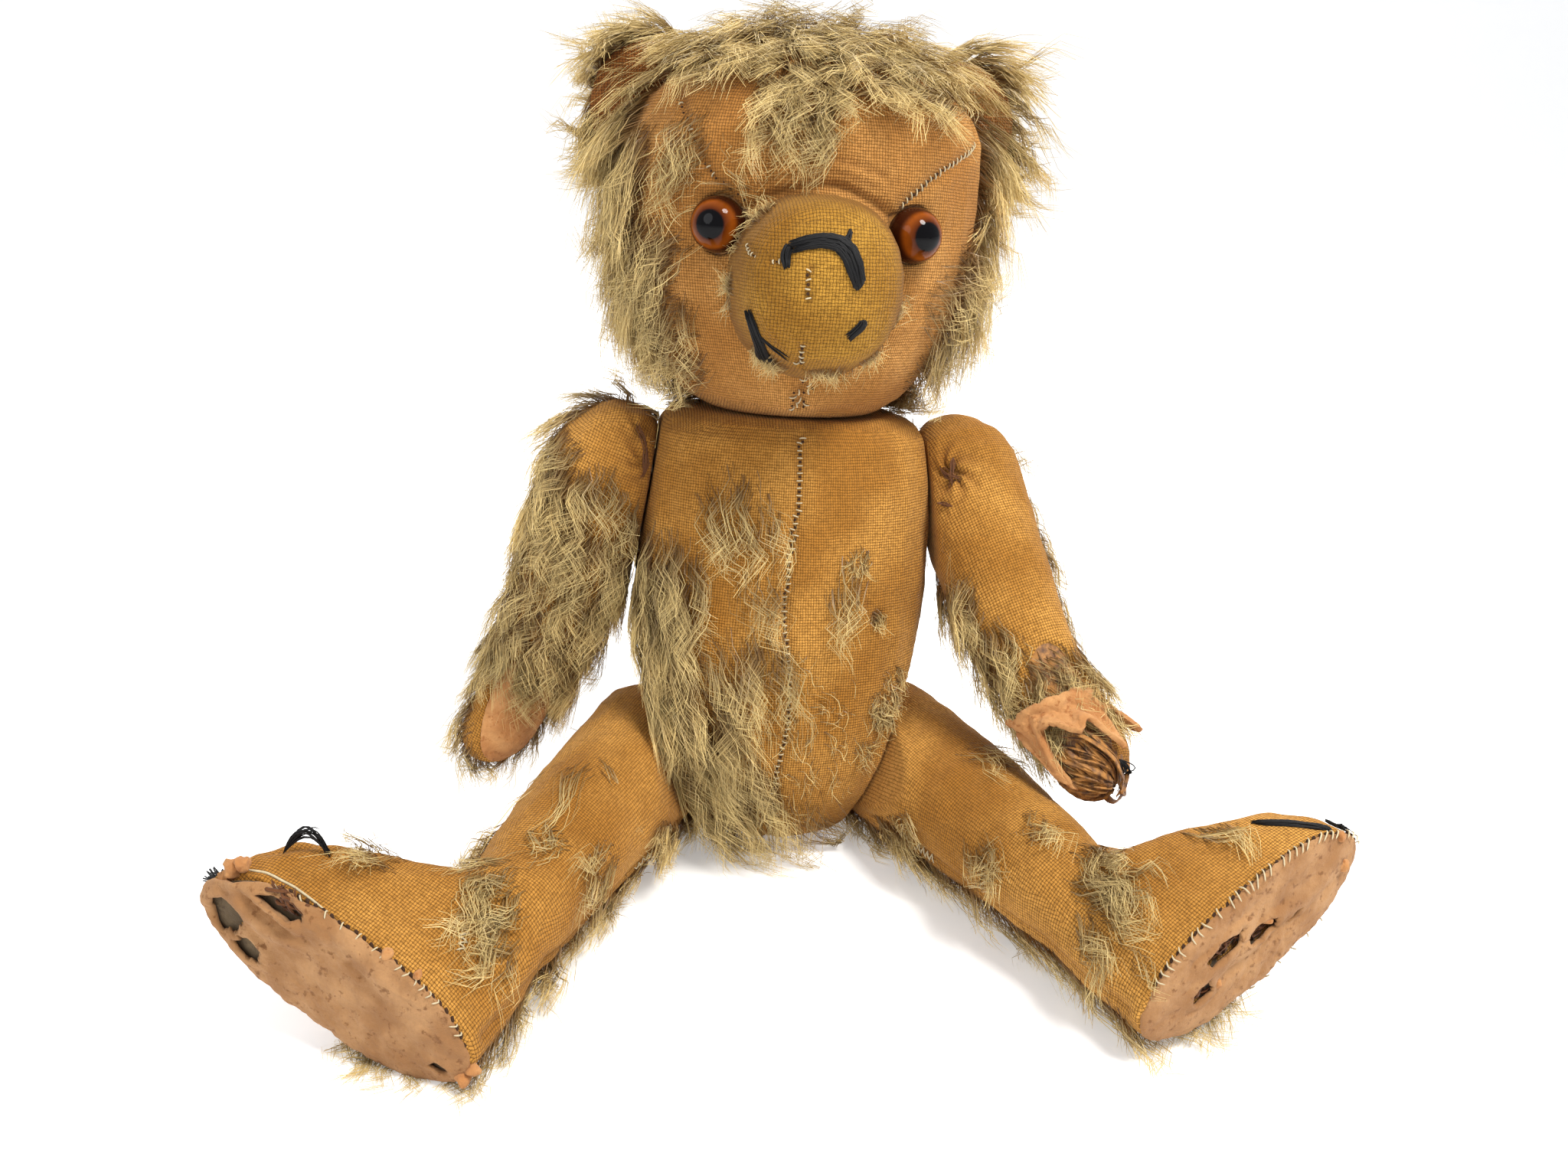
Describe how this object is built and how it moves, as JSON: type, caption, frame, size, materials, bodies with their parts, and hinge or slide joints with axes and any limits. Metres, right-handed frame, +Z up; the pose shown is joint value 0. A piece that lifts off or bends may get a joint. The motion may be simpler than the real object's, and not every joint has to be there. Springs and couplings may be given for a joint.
{
  "type": "jointed teddy bear",
  "caption": "Antique mohair teddy bear on turning disc joints, seated with its legs out; worn cloth, felt paws and soles, glass eyes, stitched nose.",
  "frame": {"origin": "centre of the flat spot under the torso that the bear sits on", "axes": "+Z up, the bear faces -Y, its own left side is +X"},
  "size_m": [0.2752, 0.1779, 0.2244],
  "materials": {
    "body_cloth": "worn plain-weave backing cloth with patches of mohair pile",
    "face_cloth": "worn plain-weave backing cloth",
    "muzzle_cloth": "short-pile yellow plush, worn",
    "ear_cloth": "mohair plush",
    "felt": "worn wool felt",
    "wood_wool": "packed fine wood shavings",
    "hardboard": "pressed fibre board",
    "sole_card": "grey-brown card",
    "steel": "plain steel",
    "eye_glass": "polished amber glass with a black pupil",
    "black_thread": "black embroidery thread"
  },
  "bodies": {
    "torso": {"torso_cover": "body_cloth", "torso_stuffing": "wood_wool", "neck_body_disc": "hardboard", "neck_body_washer": "steel", "left_shoulder_body_disc": "hardboard", "left_shoulder_body_washer": "steel", "right_shoulder_body_disc": "hardboard", "right_shoulder_body_washer": "steel", "left_hip_body_disc": "hardboard", "left_hip_body_washer": "steel", "right_hip_body_disc": "hardboard", "right_hip_body_washer": "steel"},
    "head": {"head_cover": "face_cloth", "head_stuffing": "wood_wool", "muzzle_cover": "muzzle_cloth", "nose_stitching": "black_thread", "mouth_stitching": "black_thread", "left_eye": "eye_glass", "left_eye_shank": "steel", "left_ear_front": "ear_cloth", "left_ear_back": "ear_cloth", "right_eye": "eye_glass", "right_eye_shank": "steel", "right_ear_front": "ear_cloth", "right_ear_back": "ear_cloth", "neck_limb_disc": "hardboard", "neck_limb_washer": "steel", "neck_cotter_pin": "steel"},
    "left_arm": {"left_arm_cover": "body_cloth", "left_arm_stuffing": "wood_wool", "left_paw_pad": "felt", "left_paw_claws": "black_thread", "left_shoulder_limb_disc": "hardboard", "left_shoulder_limb_washer": "steel", "left_shoulder_cotter_pin": "steel"},
    "left_leg": {"left_leg_cover": "body_cloth", "left_leg_stuffing": "wood_wool", "left_foot_pad": "felt", "left_foot_board": "sole_card", "left_foot_claws": "black_thread", "left_hip_limb_disc": "hardboard", "left_hip_limb_washer": "steel", "left_hip_cotter_pin": "steel"},
    "right_arm": {"right_arm_cover": "body_cloth", "right_arm_stuffing": "wood_wool", "right_paw_pad": "felt", "right_paw_claws": "black_thread", "right_shoulder_limb_disc": "hardboard", "right_shoulder_limb_washer": "steel", "right_shoulder_cotter_pin": "steel"},
    "right_leg": {"right_leg_cover": "body_cloth", "right_leg_stuffing": "wood_wool", "right_foot_pad": "felt", "right_foot_board": "sole_card", "right_foot_claws": "black_thread", "right_hip_limb_disc": "hardboard", "right_hip_limb_washer": "steel", "right_hip_cotter_pin": "steel"}
  },
  "joints": [
    {"name": "head_turn", "type": "hinge", "parent": "torso", "child": "head", "pos_m": [0.00399, 0.00908, 0.12661], "axis": [0.0314, 0.0715, 0.9969], "continuous": true},
    {"name": "left_arm_swing", "type": "hinge", "parent": "torso", "child": "left_arm", "pos_m": [0.04267, 0.00464, 0.10665], "axis": [0.9942, 0.0077, 0.1077], "range_deg": [-100, 120]},
    {"name": "right_arm_swing", "type": "hinge", "parent": "torso", "child": "right_arm", "pos_m": [-0.03589, 0.00481, 0.10912], "axis": [0.9854, -0.0122, -0.1698], "range_deg": [-144, 76]},
    {"name": "left_leg_swing", "type": "hinge", "parent": "torso", "child": "left_leg", "pos_m": [0.027, -0.0095, 0.027], "axis": [0.9254, 0.1632, -0.342], "range_deg": [-5, 110]},
    {"name": "right_leg_swing", "type": "hinge", "parent": "torso", "child": "right_leg", "pos_m": [-0.027, -0.0095, 0.027], "axis": [0.9254, -0.1632, 0.342], "range_deg": [-50, 110]}
  ]
}
